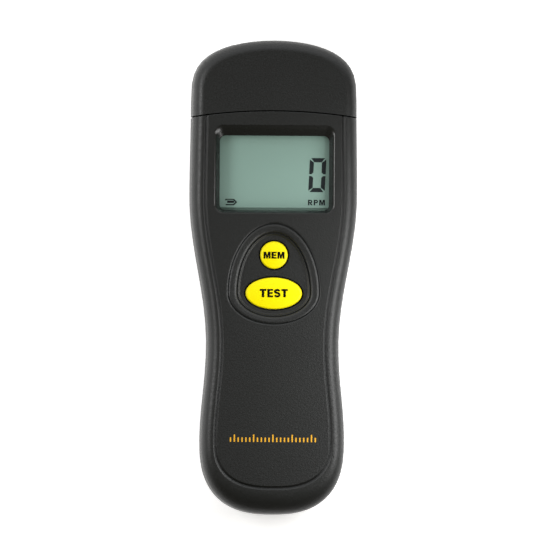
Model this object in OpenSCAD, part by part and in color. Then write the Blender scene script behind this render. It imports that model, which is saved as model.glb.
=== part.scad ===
// Handheld laser tachometer, lying on its back with the display upwards.
// X runs across the body, Y from the tail to the head, Z from the back to the front.
// The origin is under the middle of the body, on the plane that it rests on.

/* [Overall size] */
// Length from the tail to the end of the head
body_length = 183; // [180:1:190]
// Thickness from the back to the front face
body_thickness = 34; // [33:0.5:37]
// Height of the line where the two shells part
parting_height = 15; // [13:0.5:17]

/* [Outline] */
// Greatest width of the tail
tail_width = 55.9; // [55:0.1:60]
// Distance from the tail's end to its greatest width
tail_station = 28.3; // [26:0.1:31]
// Width of the waist
waist_width = 51.2; // [50:0.1:55]
// Distance from the tail's end to the waist
waist_station = 65.2; // [61:0.1:70]
// How much wider the body is at its widest than the head
chest_bulge = 0.8; // [0:0.1:4]
// Distance from the tail's end to the greatest width of the body
chest_station = 123; // [118:0.5:128]
// Width of the head where its corners start
head_width = 64; // [63:0.1:68]
// Length of the head's rounded end
head_corner = 24.5; // [22:0.5:26]
// Squareness of the tail's curve
tail_power = 2.55; // [2.3:0.05:2.8]
// Squareness of the head's corners along its length
corner_power = 3.4; // [3:0.1:3.8]
// Squareness of the head's end across its width
nose_power = 2.05; // [2:0.05:2.3]

/* [Edges and walls] */
// Height of the rounding round the front face
front_edge_height = 6; // [5:0.5:7]
// Width of that rounding at the sides
front_edge_side = 4.8; // [4:0.1:5.5]
// Width of that rounding at the tail
front_edge_tail = 9.6; // [7:0.1:11]
// Width of that rounding at the head
front_edge_head = 4.7; // [4:0.1:6]
// Height of the rounding round the back
back_edge_height = 8; // [7:0.5:9]
// Width of the back's rounding at the sides
back_edge_side = 7.5; // [6.5:0.1:8.5]
// Width of the back's rounding at the tail and at the head
back_edge_end = 9; // [8:0.1:10]
// Taper of the side walls away from the parting line
draft = 0.5; // [0.2:0.1:0.8]
// Thickness of the side walls
side_wall = 2.2; // [1.8:0.1:2.6]
// Thickness of the front face
face_wall = 2.4; // [2:0.1:2.8]
// Chamfer on each shell along the parting line
parting_chamfer = 0.3; // [0.2:0.05:0.5]

/* [Panel groove] */
// Width of the groove round the front panel
groove_width = 1.7; // [0.8:0.1:2]
// Depth of that groove
groove_depth = 0.5; // [0.3:0.1:0.9]
// Flat strip between the edge's rounding and the groove
groove_margin = 0.1; // [0.1:0.05:0.6]

/* [Display] */
// Width of the display opening
window_w = 42; // [38:0.5:43]
// Height of the display opening
window_h = 29; // [26:0.5:30]
// Radius of the opening's corners
window_corner = 2.2; // [1:0.1:3]
// Width of the bevel at the sides of the opening
bevel_side = 2.3; // [1.5:0.1:2.8]
// Width of the bevel above the opening
bevel_top = 4; // [3:0.1:4.5]
// Width of the bevel below the opening
bevel_bottom = 1.7; // [1.2:0.1:2.5]
// Depth of that bevel
bevel_depth = 2.6; // [2:0.1:3]
// Distance from the head's end to the middle of the opening
window_from_head = 51.3; // [50.5:0.1:52]
// Thickness of the clear display window
lens_thickness = 1.5; // [1:0.1:2]
// Thickness of the liquid crystal panel
lcd_thickness = 2.6; // [2:0.1:3]
// Height of the rubber contact strips under the panel
strip_height = 2.2; // [1.8:0.1:3]
// Thickness of the circuit boards
board_thickness = 1.6; // [1:0.1:2]

/* [Keys] */
// Width of the dish round the keys
dish_width = 35.9; // [33:0.1:38]
// Length of the dish above its widest line
dish_upper = 26.9; // [25:0.1:27.5]
// Length of the dish below its widest line
dish_lower = 12.4; // [11.5:0.1:14]
// Width of the sloping band round the dish
dish_band = 3.4; // [2.5:0.1:3.6]
// Width of the fine groove round the band
dish_groove_width = 1; // [0.6:0.1:1.4]
// Depth of that groove
dish_groove_depth = 0.6; // [0.3:0.1:0.9]
// Depth of the dish's floor below the front face
dish_depth = 1.9; // [1.4:0.1:2.2]
// Distance from the head's end to the dish's widest line
dish_from_head = 97.5; // [96:0.5:99]
// Diameter of the round memory key
mem_diameter = 10.9; // [9:0.1:12]
// Distance from the head's end to the memory key
mem_from_head = 83.05; // [82.5:0.05:84]
// Width of the oval test key
test_width = 22; // [19:0.5:23]
// Height of the oval test key
test_height = 12.5; // [10:0.1:13]
// Distance from the head's end to the test key
test_from_head = 97.75; // [97:0.05:99]
// How far the keys stand above the dish's floor
key_rise = 1.5; // [1:0.1:2]
// How far the keys travel when pressed
key_travel = 0.8; // [0.4:0.1:0.9]

/* [Head] */
// Distance from the head's end to the seam at its middle
head_length = 27.85; // [27:0.1:29]
// Radius of the seam's curve
seam_radius = 208; // [150:1:300]
// Width of the seam
seam_gap = 0.4; // [0.2:0.05:0.6]
// How far the collar reaches into the head past the seam
collar_reach = 4; // [2:0.5:4]
// Wall of that collar
collar_wall = 1.6; // [1.2:0.1:2]
// Width of the beam opening in the head's end
beam_w = 32; // [29:0.5:34]
// Height of the beam opening
beam_h = 14; // [12:0.5:15]
// Thickness of the beam window
beam_window_thickness = 1.6; // [1:0.1:2]
// Diameter of the laser barrel
laser_diameter = 9; // [7:0.5:9.5]
// Diameter of the receiver lens
receiver_diameter = 14; // [12:0.5:14.5]

/* [Battery] */
// Width of the battery
battery_width = 26.5; // [25:0.5:27]
// Length of the battery with its terminals
battery_length = 48.5; // [47:0.5:49]
// Thickness of the battery
battery_height = 17.5; // [16:0.5:18]
// Thickness of the battery door
door_thickness = 2; // [1.6:0.1:2.2]
// Thickness of the foam pad at the battery's foot
pad_thickness = 1.8; // [1:0.1:3]

/* [Fasteners] */
// Shank diameter of the case screws
case_screw = 2.6; // [2:0.1:2.8]
// Shank diameter of the board and optics screws
board_screw = 1.8; // [1.4:0.1:2]

/* [Clearances] */
// Gap between a seated piece and its seat
fit_gap = 0.3; // [0.2:0.05:0.4]
// Gap on each side of the sliding door
slide_gap = 0.2; // [0.15:0.05:0.3]
// Gap round each key in the panel
key_gap = 0.4; // [0.3:0.05:0.6]
// Gap round a turned part in its bore
bore_gap = 0.1; // [0.05:0.05:0.15]

/* [Hidden] */
$fn = 48;

// Colours
case_colour = "#2b2d2c";
key_colour = "#fbf008";
lcd_colour = "#89a597";
clear_colour = "#c8d4d2";
board_colour = "#2f6b3a";
brass_colour = "#c9a24b";
steel_colour = "#b9bcc0";
dark_colour = "#1a1a1c";
cream_colour = "#d8d0b8";

// Number of steps along each stretch of the outline and round each edge
tail_steps = 14;
side_steps = 20;
head_steps = 12;
neck_steps = 4;
edge_steps = 6;
egg_steps = 24;
eps = 0.01;

// Heights of the shells
front_z = body_thickness;
shoulder_z = front_z - front_edge_height;
roof_z = front_z - face_wall;
back_corner = 2;
front_corner = 1;

// Places along the body
chest_width = head_width + chest_bulge;
tail_end = -body_length / 2;
head_end = body_length / 2;
shoulder_station = body_length - head_corner;
seam_y = head_end - head_length;
seam_station = body_length - head_length;
window_y = head_end - window_from_head;
dish_y = head_end - dish_from_head;
mem_y = head_end - mem_from_head;
test_y = head_end - test_from_head;

// Display stack, from the front down
shelf_thickness = 0.9;
shelf_margin = 2;
lens_top = front_z - bevel_depth - shelf_thickness;
lens_bottom = lens_top - lens_thickness;
lens_w = window_w + 2 * shelf_margin;
lens_h = window_h + 2 * shelf_margin;
lcd_top = lens_bottom - 0.2;
lcd_bottom = lcd_top - lcd_thickness;
board_top = lcd_bottom - strip_height;
board_bottom = board_top - board_thickness;
frame_wall = 1.6;
frame_w = lens_w + 2 * (fit_gap / 2 + frame_wall);
frame_h = lens_h + 2 * (fit_gap / 2 + frame_wall);
frame_top = lens_bottom - 0.1;

// Keys and their switches
dish_floor = front_z - dish_depth;
dish_lip = 0.12;
dish_moat = 0.5;
dish_bead = 0.15;
dish_lower_share = 0.84;
key_seat = dish_floor - 2;
flange_top = key_seat - 0.1;
flange_thickness = 1.4;
flange_bottom = flange_top - flange_thickness;
flange_reach = 1.4;
switch_size = 6;
plunger_d = 3.4;
plunger_bite = 0.9;
switch_top = flange_bottom - key_travel - fit_gap;

// Battery bay and its door
bay_gap = 0.4;
bay_wall = 1.4;
lead_room = 8;
bay_tail_y = tail_end + 12.5;
battery_y = bay_tail_y + pad_thickness + 0.2;
bay_head_y = battery_y + battery_length + lead_room;
bay_half = battery_width / 2 + bay_gap;
battery_z = door_thickness + fit_gap;
battery_mid = battery_z + battery_height / 2;
bay_roof = battery_z + battery_height + bay_gap;
ledge_z = door_thickness + slide_gap;
ledge_thickness = 1.5;
door_half = bay_half + bay_wall + 0.95;
tongue_reach = 1.2;
lip_thickness = 0.9;
slot_half = door_half + tongue_reach + slide_gap;
ledge_half = slot_half + 1.8;
door_head_y = bay_head_y - 3.5;
door_top_z = 7;
hook_half = 10;
hook_reach = 1.3;
back_wall = ledge_z;
terminal_height = 3;
terminal_spacing = 12.7;
snap_thickness = 4.5;
snap_y = battery_y + battery_length - terminal_height;
lead_d = 1.3;
lead_spacing = 9;
lead_slot_half = lead_spacing / 2 + lead_d;
lead_slot_z = bay_roof - 4;

// Main board
board_half = frame_w / 2 + 0.2;
board_head_y = window_y + frame_h / 2 + 0.2;
board_step_y = window_y - frame_h / 2 - 6;
board_tail_y = test_y - 11.6;
board_screw_r = board_screw / 2;
board_head_h = 1.4;
board_boss_r = 2.2;
upper_board_screw_x = board_half - 5;
lower_board_screw_x = bay_half + bay_wall + board_screw + fit_gap;
stem_half = lower_board_screw_x + board_boss_r + 0.2;
board_screw_spots = [
    for (side = [-1, 1]) each [
        [side * upper_board_screw_x, window_y - frame_h / 2 - 3],
        [side * lower_board_screw_x, board_tail_y + 3]
    ]
];
lead_rise = 4;
lead_end_y = max(bay_head_y + bay_wall + lead_rise, board_tail_y + 2 * lead_d);

// Case screws and their bosses
case_screw_r = case_screw / 2;
case_head_r = case_screw;
case_head_h = 1.9;
case_seat_z = 5.5;
rear_boss_r = case_head_r + 1.1;
front_boss_r = 3.2;
screw_edge = 6.1;
case_screw_bite = 9;
lower_screw_station = 31.5;
upper_screw_station = window_y - frame_h / 2 - 11 - tail_end;
case_screw_spots = [
    for (s = [lower_screw_station, upper_screw_station]) for (side = [-1, 1])
        [side * (half_width(s) - screw_edge), tail_end + s]
];

// Optics in the head
beam_z = body_thickness / 2;
beam_margin = 1.2;
beam_seat_y = head_end - 4.3;
beam_back_y = beam_seat_y - beam_window_thickness;
beam_boss = 2;
holder_front_y = beam_back_y - 1.2;
holder_length = 14.4;
holder_back_y = holder_front_y - holder_length;
holder_half = 16.5;
foot_half = 2;
ear_half = 3;
holder_height = receiver_diameter + 1.2;
laser_x = -9.2;
receiver_x = 7;
tray_half = holder_half + 4;
tray_bottom = back_wall + 0.7;
tray_top = tray_bottom + 2;
tray_head_y = holder_back_y + 2 * ear_half + 1.5;
ear_height = 2.5;
ear_y = holder_back_y + ear_half + 1;
ear_x = holder_half + 2;
sensor_board_y = holder_back_y - board_thickness;
header_pitch = 2.54;
header_pins = 5;
pin_size = 0.64;
lens_seat = 4;
lens_ledge = 1;
laser_rim = 1.8;
laser_recess = 3;

// Interpolation, straight and eased at both ends
function lerp(a, b, t) = a + (b - a) * t;
function ease(a, b, t) = lerp(a, b, (1 - cos(180 * t)) / 2);

// Half the outline's width at the distance s from the tail's end
function half_width(s) =
    s < waist_station
        ? ease(tail_width, waist_width, (s - tail_station) / (waist_station - tail_station)) / 2
        : s < chest_station
            ? ease(waist_width, chest_width, (s - waist_station) / (chest_station - waist_station)) / 2
            : ease(chest_width, head_width, (s - chest_station) / (shoulder_station - chest_station)) / 2;

// Right half of the body's outline from the tail's tip to the distance top, set in at the sides and tail
function body_half(side, end, top) = concat(
    [for (i = [0:tail_steps]) let (a = 90 * i / tail_steps)
        [(tail_width / 2 - side) * pow(sin(a), 2 / tail_power),
         tail_end + tail_station - (tail_station - end) * pow(cos(a), 2 / tail_power)]],
    [for (i = [1:side_steps]) let (s = lerp(tail_station, top, i / side_steps))
        [half_width(s) - side, tail_end + s]]);

// Left half of the head's outline from its tip down to the distance low
function head_half(side, end, low) = concat(
    [for (i = [0:head_steps]) let (a = 90 * i / head_steps)
        [-(head_width / 2 - side) * pow(sin(a), 2 / nose_power),
         tail_end + shoulder_station + (head_corner - end) * pow(cos(a), 2 / corner_power)]],
    [for (i = [1:neck_steps]) let (s = lerp(shoulder_station, low, i / neck_steps))
        [side - half_width(s), tail_end + s]]);

// Right half of a stretch of the outline between two distances, closed by a shallow point
function neck_half(side, low, top) = concat(
    [[0, tail_end + low - 1]],
    [for (i = [0:neck_steps]) let (s = lerp(low, top, i / neck_steps))
        [half_width(s) - side, tail_end + s]]);

// Left half of the egg-shaped dish, set in all round and a little less at its foot
function egg_half(inset) = [
    for (i = [0:egg_steps]) let (a = 180 * i / egg_steps)
        [i == egg_steps ? 0 : -(dish_width / 2 - inset) * sin(a),
         dish_y + (a < 90 ? dish_upper - inset : dish_lower - dish_lower_share * inset) * cos(a)]
];

// Left half of an oval from its top to its bottom
function oval_half(rx, ry) = [
    for (i = [0:egg_steps]) let (a = 180 * i / egg_steps)
        [i == egg_steps ? 0 : -rx * sin(a), ry * cos(a)]
];

// Points of a ring without their height
function flat(points) = [for (p = points) [p.x, p.y]];

// A half outline mirrored to a closed ring at one height
function ring(half, z) = [
    for (p = concat(half, [for (i = [len(half) - 1:-1:0]) if (half[i].x != 0) [-half[i].x, half[i].y]]))
        [p.x, p.y, z]
];

// Triangles of the flat cap over a ring of n points that starts at its tip
function cap(first, n, up) = [
    for (i = [0:floor(n / 2) - 1])
        let (r0 = first + i, r1 = r0 + 1, l1 = first + n - i - 1, l0 = first + (n - i) % n)
        for (t = [[r0, r1, l1], [r0, l1, l0]])
            if (t[0] != t[1] && t[1] != t[2] && t[2] != t[0]) up ? [t[0], t[2], t[1]] : t
];

// Triangles between rings k and k + 1 of n points each
function band(k, n) = [
    for (i = [0:n - 1])
        let (a = k * n + i, b = k * n + (i + 1) % n)
        for (t = [[a, b + n, b], [a, a + n, b + n]]) t
];

// Solid through rings of equal length, from the lowest cap to the highest
module loft(rings) {
    n = len(rings[0]);
    last = len(rings) - 1;
    polyhedron(
        points = [for (r = rings) each r],
        faces = concat(cap(0, n, false), [for (k = [0:last - 1]) each band(k, n)], cap(last * n, n, true)));
}

// Levels of a form: height, inset at the sides, inset at the end
function rounding(start, finish, a) = start + (finish - start) * (1 - cos(a));

function front_edge(end) = [
    for (k = [0:edge_steps]) let (a = 90 * k / edge_steps)
        [shoulder_z + front_edge_height * sin(a),
         rounding(draft, front_edge_side, a), rounding(draft, end, a)]
];

function back_edge(end) = [
    for (k = [edge_steps:-1:0]) let (a = 90 * k / edge_steps)
        [back_edge_height * (1 - sin(a)), rounding(draft, back_edge_side, a), rounding(draft, end, a)]
];

function groove_level(across, z) = [
    z,
    front_edge_side + groove_margin + across * groove_width,
    front_edge_tail + groove_margin + across * groove_width
];

front_levels = concat(
    [[parting_height, parting_chamfer, parting_chamfer], [parting_height + parting_chamfer, 0, 0]],
    front_edge(front_edge_tail),
    [groove_level(0, front_z), groove_level(0.5, front_z - groove_depth), groove_level(1, front_z)]);

rear_levels = concat(
    back_edge(back_edge_end),
    [[parting_height - parting_chamfer, 0, 0], [parting_height, parting_chamfer, parting_chamfer]]);

head_levels = concat(back_edge(back_edge_end), [[parting_height, 0, 0]], front_edge(front_edge_head));

// The hollow inside the walls, drawn in by extra
function hollow(extra, end_front) = [
    [back_wall + extra, back_edge_side - back_corner + extra, back_edge_end - back_corner + extra],
    [back_edge_height, draft + side_wall + extra, draft + side_wall + extra],
    [parting_height, side_wall + extra, side_wall + extra],
    [shoulder_z, draft + side_wall + extra, draft + side_wall + extra],
    [roof_z - extra, front_edge_side + front_corner + extra, end_front + front_corner + extra]
];

module body_form(levels, top) {
    loft([for (v = levels) ring(body_half(v[1], v[2], top), v[0])]);
}

module head_form(levels, low) {
    loft([for (v = levels) ring(head_half(v[1], v[2], low), v[0])]);
}

module neck_form(extra, low, top) {
    loft([for (v = hollow(extra, front_edge_head)) ring(neck_half(v[1], low, top), v[0])]);
}

// Everything on the tail's side of the curved seam
module tail_side_of_seam(gap) {
    translate([0, seam_y - seam_radius, -1])
        cylinder(r = seam_radius + gap, h = body_thickness + 2, $fn = 180);
}

module block(x0, x1, y0, y1, z0, z1) {
    translate([x0, y0, z0]) cube([x1 - x0, y1 - y0, z1 - z0]);
}

// A box that is as wide on both sides of the middle
module bar(half, y0, y1, z0, z1) {
    block(-half, half, y0, y1, z0, z1);
}

module rounded_rect(w, h, r) {
    square([w - 2 * r, h], center = true);
    square([w, h - 2 * r], center = true);
    for (x = [-1, 1]) for (y = [-1, 1])
        translate([x * (w / 2 - r), y * (h / 2 - r)]) circle(r);
}

// Plate with a rounded outline, flat on Z
module rounded_plate(w, h, r, z0, z1) {
    translate([0, 0, z0]) linear_extrude(z1 - z0) rounded_rect(w, h, r);
}

// Oblong with round ends that runs along Y at the height of the beam
module beam_slot(w, h, y0, y1) {
    translate([0, y1, beam_z]) rotate([90, 0, 0]) linear_extrude(y1 - y0) {
        square([w - h, h], center = true);
        for (x = [-1, 1]) translate([x * (w - h) / 2, 0]) circle(h / 2);
    }
}

module along_y(x, y0, y1, r) {
    translate([x, y1, beam_z]) rotate([90, 0, 0]) cylinder(r = r, h = y1 - y0);
}

module at(spots) {
    for (p = spots) translate([p.x, p.y, 0]) children();
}

module post(r, z0, z1) {
    translate([0, 0, z0]) cylinder(r = r, h = z1 - z0);
}

// Collar that reaches from the body into the head
module collar() {
    difference() {
        neck_form(fit_gap, seam_station - 8, seam_station + collar_reach);
        neck_form(fit_gap + collar_wall, seam_station - 9, seam_station + collar_reach + 1);
    }
}

// Wall that carries the collar inside the shells
module collar_root() {
    difference() {
        bar(chest_width, seam_y - 8, seam_y - 4, -1, body_thickness + 1);
        neck_form(fit_gap + collar_wall, seam_station - 9, seam_station);
    }
}

// What the display opening takes out of the front
module window_cut() {
    over = 0.5;
    reach = (bevel_depth + over) / bevel_depth;
    translate([0, window_y, 0]) {
        rounded_plate(window_w, window_h, window_corner, lens_bottom - 1, front_z);
        rounded_plate(lens_w + fit_gap, lens_h + fit_gap, window_corner, 0, lens_top);
        hull() {
            translate([0, 0, front_z - bevel_depth]) linear_extrude(eps)
                rounded_rect(window_w, window_h, window_corner, $fn = 32);
            translate([0, reach * (bevel_top - bevel_bottom) / 2, front_z + over]) linear_extrude(eps)
                rounded_rect(
                    window_w + 2 * reach * bevel_side, window_h + reach * (bevel_top + bevel_bottom),
                    window_corner + bevel_side * 0.6, $fn = 32);
        }
    }
}

// What the dish takes out of the front: a groove, a sloping band, a wall, a moat and a beaded floor
module dish_cut() {
    band_end = front_z - 0.4 * dish_depth;
    wall_foot = dish_band + 0.6;
    bead_foot = wall_foot + 2 * dish_moat;
    rows = [
        [dish_floor, bead_foot + 3 * dish_bead], [dish_floor + dish_bead, bead_foot + dish_bead],
        [dish_floor + dish_bead, bead_foot],
        [dish_floor - dish_moat, wall_foot + dish_moat], [dish_floor - dish_moat, wall_foot],
        [band_end, dish_band], [front_z - dish_lip, dish_groove_width],
        [front_z - dish_groove_depth, dish_groove_width / 2], [front_z, 0], [front_z + 1, 0]
    ];
    loft([for (v = rows) ring(egg_half(v[1]), v[0])]);
}

module front_shell() {
    color(case_colour) difference() {
        union() {
            difference() {
                intersection() {
                    body_form(front_levels, seam_station + 3);
                    tail_side_of_seam(0);
                }
                difference() {
                    body_form([for (i = [2:4]) hollow(0, front_edge_tail)[i]], seam_station + 4);
                    translate([0, window_y, 0])
                        rounded_plate(frame_w, frame_h, window_corner, lens_bottom, front_z);
                    translate([0, 0, key_seat]) linear_extrude(front_z - key_seat)
                        polygon(flat(ring(egg_half(0), 0)));
                    at(case_screw_spots) post(front_boss_r, parting_height, front_z);
                    at(board_screw_spots) post(board_boss_r, board_top, front_z);
                    collar_root();
                }
            }
            intersection() {
                collar();
                bar(chest_width, 0, head_end, parting_height, front_z);
            }
        }
        window_cut();
        dish_cut();
        translate([0, mem_y, 0]) post(mem_diameter / 2 + key_gap, key_seat - 1, front_z + 1);
        translate([0, test_y, key_seat - 1]) linear_extrude(face_wall + 2)
            polygon(flat(ring(oval_half(test_width / 2 + key_gap, test_height / 2 + key_gap), 0)));
        at(case_screw_spots) post(case_screw_r + bore_gap / 2, 0, parting_height + case_screw_bite + 1);
        at(board_screw_spots) post(board_screw_r + bore_gap / 2, 0, key_seat - 1);
    }
}

// What the battery door takes out of the back, with its side slots and the pocket for its hook
module door_cut() {
    bar(door_half + slide_gap, tail_end - 1, door_head_y + slide_gap, -1, door_top_z + slide_gap);
    bar(slot_half, tail_end - 1, door_head_y + slide_gap, lip_thickness, ledge_z);
    bar(hook_half + slide_gap, tail_end - 1, door_head_y + hook_reach + slide_gap, lip_thickness, ledge_z);
}

// Walls and roof of the battery bay, with the ledge that the door closes against
module battery_bay() {
    difference() {
        union() {
            bar(bay_half + bay_wall, bay_tail_y - bay_wall, bay_head_y + bay_wall,
                ledge_z, bay_roof + bay_wall);
            bar(ledge_half, bay_tail_y - bay_wall, door_head_y + 4, ledge_z, ledge_z + ledge_thickness);
        }
        bar(bay_half, bay_tail_y, bay_head_y, ledge_z - 1, bay_roof);
        bar(lead_slot_half, bay_head_y - 1, bay_head_y + bay_wall + 1, lead_slot_z, bay_roof);
    }
}

module rear_shell() {
    color(case_colour) difference() {
        union() {
            difference() {
                intersection() {
                    body_form(rear_levels, seam_station + 3);
                    tail_side_of_seam(0);
                }
                difference() {
                    body_form([for (i = [0:2]) hollow(0, front_edge_tail)[i]], seam_station + 4);
                    at(case_screw_spots) post(rear_boss_r, 0, parting_height);
                    collar_root();
                }
                door_cut();
            }
            battery_bay();
            intersection() {
                collar();
                bar(chest_width, 0, head_end, 0, parting_height);
            }
            bar(tray_half, seam_y - 6, tray_head_y, tray_bottom, tray_top);
        }
        at(case_screw_spots) {
            post(case_screw_r + bore_gap, -1, parting_height + 1);
            post(case_head_r + fit_gap, -1, case_seat_z);
        }
        for (side = [-1, 1]) translate([side * ear_x, ear_y, 0])
            post(board_screw_r + bore_gap / 2, tray_bottom - 1, tray_top + 1);
    }
}

module head_cap() {
    color(case_colour) difference() {
        head_form(head_levels, seam_station - 6);
        difference() {
            head_form(hollow(0, front_edge_head), seam_station - 7);
            beam_slot(
                beam_w + 2 * (beam_margin + beam_boss), beam_h + 2 * (beam_margin + beam_boss),
                beam_back_y, head_end);
        }
        beam_slot(beam_w, beam_h, beam_back_y - 1, head_end + 1);
        beam_slot(
            beam_w + 2 * beam_margin + fit_gap, beam_h + 2 * beam_margin + fit_gap,
            beam_back_y - 1, beam_seat_y);
        tail_side_of_seam(seam_gap);
    }
}

module display_window() {
    color(clear_colour) translate([0, window_y, 0])
        rounded_plate(lens_w, lens_h, window_corner, lens_bottom, lens_top);
}

module beam_window() {
    color("#7a1420")
        beam_slot(beam_w + 2 * beam_margin, beam_h + 2 * beam_margin, beam_back_y, beam_seat_y);
}

// Two glass plates, the front one shorter so that the contacts on the rear one are bare
module lcd_panel() {
    contact_ledge = 3;
    color(lcd_colour) translate([0, window_y, 0]) {
        bar(lens_w / 2, -lens_h / 2, lens_h / 2, lcd_bottom, lcd_bottom + lcd_thickness / 2);
        bar(lens_w / 2, contact_ledge - lens_h / 2, lens_h / 2, lcd_bottom, lcd_top);
    }
}

module lcd_frame() {
    ledge = 1.8;
    color(cream_colour) translate([0, window_y, 0]) {
        difference() {
            rounded_plate(frame_w, frame_h, window_corner, board_top, frame_top);
            rounded_plate(lens_w + fit_gap, lens_h + fit_gap, 0.4, board_top - 1, frame_top + 1);
        }
        for (side = [-1, 1]) translate([side * (frame_w / 2 - frame_wall - ledge / 2 + 0.2), 0, 0])
            bar(ledge / 2 + 0.2, -lens_h / 3, lens_h / 3, board_top, lcd_bottom);
    }
}

module contact_strips() {
    inset = 1.8;
    width = 2.2;
    color("#c9a0a8") for (side = [-1, 1])
        translate([0, window_y + side * (lens_h / 2 - inset), 0])
            bar(window_w / 2, -width / 2, width / 2, board_top, lcd_bottom);
}

module main_board() {
    color(board_colour) difference() {
        union() {
            bar(board_half, board_step_y, board_head_y, board_bottom, board_top);
            bar(stem_half, board_tail_y, board_step_y + 1, board_bottom, board_top);
        }
        at(board_screw_spots) post(board_screw_r + bore_gap, board_bottom - 1, board_top + 1);
    }
}

// Flat package with a row of legs on each of two sides
module controller_chip() {
    size = 12;
    thickness = 1.6;
    standoff = 0.2;
    legs = 10;
    pitch = 1.1;
    leg_w = 0.5;
    leg_length = 1.4;
    leg_height = 0.7;
    color(dark_colour) translate([0, window_y - 2, board_bottom]) {
        bar(size / 2, -size / 2, size / 2, -thickness - standoff, -standoff);
        for (side = [-1, 1]) for (i = [0:legs - 1])
            translate([(i - (legs - 1) / 2) * pitch, side * (size + leg_length - 2 * standoff) / 2, 0])
                bar(leg_w / 2, -leg_length / 2, leg_length / 2, -leg_height, 0);
    }
}

module crystal() {
    length = 11;
    width = 4.6;
    height = 3.6;
    rim = 0.5;
    color(steel_colour) translate([-13, window_y - 14, 0]) {
        rounded_plate(length, width, width / 2 - 0.1, board_bottom - height, board_bottom);
        rounded_plate(length + 2 * rim, width + 2 * rim, width / 2 + rim - 0.1,
            board_bottom - rim, board_bottom);
    }
}

// Two cans with a rolled rim at the free end and a crimp near the board
module capacitors() {
    height = 8;
    r = 2.5;
    roll = 0.3;
    crimp = 0.25;
    crimp_z = height - 1.3;
    color("#26365c") for (x = [10, 17]) translate([x, window_y + 8, board_bottom - height])
        rotate_extrude() polygon([
            [0, roll], [r - 2 * roll, roll], [r - roll, 0], [r, roll], [r, crimp_z - roll],
            [r - crimp, crimp_z], [r, crimp_z + roll], [r, height], [0, height]
        ]);
}

module switch_body(y) {
    color(dark_colour) translate([0, y, 0]) difference() {
        bar(switch_size / 2, -switch_size / 2, switch_size / 2, board_top, switch_top);
        post(plunger_d / 2 + bore_gap, switch_top - plunger_bite - key_travel - 0.2, switch_top + 1);
    }
}

module plunger(y) {
    color("#e8e4da") translate([0, y, 0])
        post(plunger_d / 2, switch_top - plunger_bite, flange_bottom);
}

module test_switch() { switch_body(test_y); }
module mem_switch() { switch_body(mem_y); }
module test_plunger() { plunger(test_y); }
module mem_plunger() { plunger(mem_y); }

// Rows of a crowned key and its flange: height, offset from its outline, share of the outline
key_top = dish_floor + key_rise;
key_crown = 0.5;
key_corner = 0.5;
crown_steps = 6;
key_rows = concat(
    [[flange_bottom, flange_reach, 1], [flange_top, flange_reach, 1], [flange_top, 0, 1]],
    [for (a = [0:30:90]) [key_top - key_crown - key_corner * (1 - sin(a)), key_corner * (cos(a) - 1), 1]],
    [for (k = [crown_steps - 1:-1:1]) let (t = k / crown_steps)
        [key_top - key_crown * t * t, -key_corner, t]]);

module test_key() {
    color(key_colour) translate([0, test_y, 0])
        loft([for (v = key_rows)
            ring(oval_half((test_width / 2 + v[1]) * v[2], (test_height / 2 + v[1]) * v[2]), v[0])]);
}

module mem_key() {
    color(key_colour) translate([0, mem_y, 0]) rotate_extrude() polygon(concat(
        [[0, flange_bottom]],
        [for (v = key_rows) [(mem_diameter / 2 + v[1]) * v[2], v[0]]],
        [[0, key_top]]));
}

// Row of pins that joins the main board to the sensor board
module link_header() {
    bar_y = window_y + frame_h / 2 - 3;
    pin_z = board_bottom - header_pitch / 2;
    color(dark_colour) {
        bar(header_pins * header_pitch / 2, bar_y, bar_y + header_pitch,
            board_bottom - header_pitch, board_bottom);
        for (i = [0:header_pins - 1]) translate([(i - (header_pins - 1) / 2) * header_pitch, 0, 0])
            bar(pin_size / 2, bar_y + 1, sensor_board_y, pin_z - pin_size / 2, pin_z + pin_size / 2);
    }
}

module sensor_board() {
    color(board_colour)
        bar(holder_half - 0.5, sensor_board_y, holder_back_y,
            tray_top + fit_gap, beam_z + holder_height / 2 + 2);
}

// Block with a bore for the laser, a stepped bore for the lens, and two feet with screw ears
module optics_holder() {
    color(dark_colour) difference() {
        union() {
            bar(holder_half, holder_back_y, holder_front_y,
                beam_z - holder_height / 2, beam_z + holder_height / 2);
            for (side = [-1, 1]) {
                translate([side * (holder_half - foot_half), 0, 0])
                    bar(foot_half, holder_back_y, tray_head_y, tray_top, beam_z);
                translate([side * (ear_x - 1), 0, 0])
                    bar(ear_half, ear_y - ear_half, ear_y + ear_half, tray_top, tray_top + ear_height);
            }
        }
        along_y(laser_x, holder_back_y - 1, holder_front_y + 1, laser_diameter / 2 + bore_gap);
        along_y(receiver_x, holder_back_y - 1, holder_front_y + 1, receiver_diameter / 2 - lens_ledge);
        along_y(receiver_x, holder_front_y - lens_seat, holder_front_y + 1, receiver_diameter / 2 + bore_gap);
        for (side = [-1, 1]) translate([side * ear_x, ear_y, 0])
            post(board_screw_r + bore_gap, tray_top - 1, beam_z - holder_height / 2);
    }
}

module laser_barrel() {
    face_y = holder_front_y - fit_gap;
    color(brass_colour) difference() {
        along_y(laser_x, holder_back_y, face_y, laser_diameter / 2);
        along_y(laser_x, face_y - laser_recess, holder_front_y + 1, laser_diameter / 2 - laser_rim);
        along_y(laser_x, face_y - 2 * laser_recess, holder_front_y, 1);
    }
}

// Lens with a flat back, a straight rim and a domed face towards +Y
module domed_lens(x, back_y, r, rim, dome) {
    steps = 8;
    translate([x, back_y, beam_z]) rotate([-90, 0, 0]) rotate_extrude()
        polygon(concat(
            [[0, 0], [r, 0]],
            [for (k = [steps:-1:0]) let (t = k / steps) [r * t, rim + dome * (1 - t * t)]]));
}

module laser_lens() {
    color(clear_colour)
        domed_lens(laser_x, holder_front_y - fit_gap - laser_recess,
            laser_diameter / 2 - laser_rim - bore_gap, 0.8, 0.7);
}

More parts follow.
